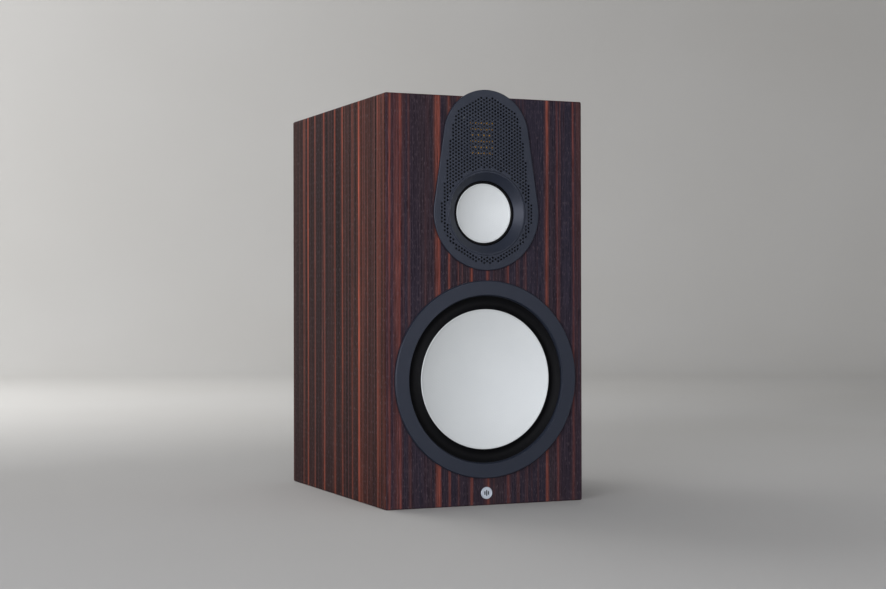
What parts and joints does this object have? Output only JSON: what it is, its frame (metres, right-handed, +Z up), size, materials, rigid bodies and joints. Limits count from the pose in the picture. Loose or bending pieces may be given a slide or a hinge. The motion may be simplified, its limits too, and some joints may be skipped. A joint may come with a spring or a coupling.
{
  "type": "bookshelf loudspeaker",
  "caption": "Bookshelf loudspeaker: a veneered box with a large bass cone below and a keyhole-shaped perforated plate above that frames a midrange cone and a pleated tweeter.",
  "frame": {"origin": "centre of the cabinet's underside, on the surface it stands on", "axes": "+Z up; the drivers face -Y and the terminals face +Y; +X is to the right of someone who looks at the front"},
  "size_m": [0.2536, 0.3795, 0.4881],
  "materials": {
    "veneer": "satin lacquer",
    "bare_board": "raw board",
    "satin_black_metal": "satin",
    "cast_black": "matt",
    "black_plastic": "matt",
    "silver_cone": "matt",
    "rubber": "matt",
    "polyimide": "satin",
    "zinc_steel": "satin",
    "ferrite": "matt",
    "spider_cloth": "matt",
    "felt": "matt",
    "silver_trim": "satin",
    "gold_brass": "polished",
    "knob_black": "gloss",
    "knob_red": "gloss",
    "circuit_board": "satin",
    "copper_wire": "lacquered",
    "capacitor_film": "gloss",
    "ceramic": "matt",
    "nickel": "satin"
  },
  "bodies": {
    "cabinet": {"badge": "silver_trim", "bottom_panel": "veneer", "crossover_board": "circuit_board", "crossover_capacitors": "capacitor_film", "crossover_coils": "copper_wire", "crossover_fixings": "black_plastic", "crossover_resistors": "ceramic", "front_baffle": "veneer", "front_plate": "satin_black_metal", "grille_magnets": "nickel", "jumper_links": "gold_brass", "left_side_panel": "veneer", "mid_basket": "cast_black", "mid_enclosure": "black_plastic", "mid_horn": "satin_black_metal", "mid_magnet": "ferrite", "mid_spider": "spider_cloth", "mid_surround": "rubber", "mid_top_plate": "zinc_steel", "mid_yoke": "zinc_steel", "module_frame": "cast_black", "module_screws": "zinc_steel", "port_tube": "black_plastic", "post_bushes": "black_plastic", "post_studs": "gold_brass", "rear_panel": "veneer", "right_side_panel": "veneer", "sealing_gaskets": "rubber", "shelf_brace": "bare_board", "stand_inserts": "gold_brass", "terminal_plate": "black_plastic", "terminal_screws": "cast_black", "tie_bolts": "cast_black", "top_panel": "veneer", "tweeter_bezel": "satin_black_metal", "tweeter_chamber": "black_plastic", "tweeter_diaphragm": "polyimide", "tweeter_front_pole": "cast_black", "tweeter_magnets": "nickel", "tweeter_rear_pole": "zinc_steel", "wadding": "felt", "woofer_basket": "cast_black", "woofer_magnet": "ferrite", "woofer_spider": "spider_cloth", "woofer_surround": "rubber", "woofer_top_plate": "zinc_steel", "woofer_trim_ring": "satin_black_metal", "woofer_yoke": "zinc_steel"},
    "woofer_moving": {"woofer_cone": "silver_cone", "woofer_voice_coil": "copper_wire"},
    "mid_moving": {"mid_cone": "silver_cone", "mid_voice_coil": "copper_wire"},
    "upper_right_collar_body": {"upper_right_collar": "gold_brass"},
    "upper_right_knob_body": {"upper_right_knob": "knob_red"},
    "lower_right_collar_body": {"lower_right_collar": "gold_brass"},
    "lower_right_knob_body": {"lower_right_knob": "knob_red"},
    "upper_left_collar_body": {"upper_left_collar": "gold_brass"},
    "upper_left_knob_body": {"upper_left_knob": "knob_black"},
    "lower_left_collar_body": {"lower_left_collar": "gold_brass"},
    "lower_left_knob_body": {"lower_left_knob": "knob_black"}
  },
  "joints": [
    {"name": "woofer_cone_travel", "type": "slide", "parent": "cabinet", "child": "woofer_moving", "axis": [0, -1, 0], "range_m": [-0.006, 0.006], "stiffness_N_per_m": 1000, "deforming": ["woofer_surround", "woofer_spider"]},
    {"name": "mid_cone_travel", "type": "slide", "parent": "cabinet", "child": "mid_moving", "axis": [0, -1, 0], "range_m": [-0.0015, 0.0015], "stiffness_N_per_m": 2500, "deforming": ["mid_surround", "mid_spider"]},
    {"name": "upper_right_collar_travel", "type": "slide", "parent": "cabinet", "child": "upper_right_collar_body", "axis": [0, 1, 0], "range_m": [0, 0.005]},
    {"name": "upper_right_knob_turn", "type": "hinge", "parent": "upper_right_collar_body", "child": "upper_right_knob_body", "pos_m": [0.026, 0.194, 0.085], "axis": [0, 1, 0], "range_deg": [0, 1800]},
    {"name": "lower_right_collar_travel", "type": "slide", "parent": "cabinet", "child": "lower_right_collar_body", "axis": [0, 1, 0], "range_m": [0, 0.005]},
    {"name": "lower_right_knob_turn", "type": "hinge", "parent": "lower_right_collar_body", "child": "lower_right_knob_body", "pos_m": [0.026, 0.194, 0.047], "axis": [0, 1, 0], "range_deg": [0, 1800]},
    {"name": "upper_left_collar_travel", "type": "slide", "parent": "cabinet", "child": "upper_left_collar_body", "axis": [0, 1, 0], "range_m": [0, 0.005]},
    {"name": "upper_left_knob_turn", "type": "hinge", "parent": "upper_left_collar_body", "child": "upper_left_knob_body", "pos_m": [-0.026, 0.194, 0.085], "axis": [0, 1, 0], "range_deg": [0, 1800]},
    {"name": "lower_left_collar_travel", "type": "slide", "parent": "cabinet", "child": "lower_left_collar_body", "axis": [0, 1, 0], "range_m": [0, 0.005]},
    {"name": "lower_left_knob_turn", "type": "hinge", "parent": "lower_left_collar_body", "child": "lower_left_knob_body", "pos_m": [-0.026, 0.194, 0.047], "axis": [0, 1, 0], "range_deg": [0, 1800]}
  ],
  "couplings": [
    {"joint": "upper_right_knob_turn", "follows": "upper_right_collar_travel", "rad_per_m": 6283.2},
    {"joint": "lower_right_knob_turn", "follows": "lower_right_collar_travel", "rad_per_m": 6283.2},
    {"joint": "upper_left_knob_turn", "follows": "upper_left_collar_travel", "rad_per_m": 6283.2},
    {"joint": "lower_left_knob_turn", "follows": "lower_left_collar_travel", "rad_per_m": 6283.2}
  ]
}
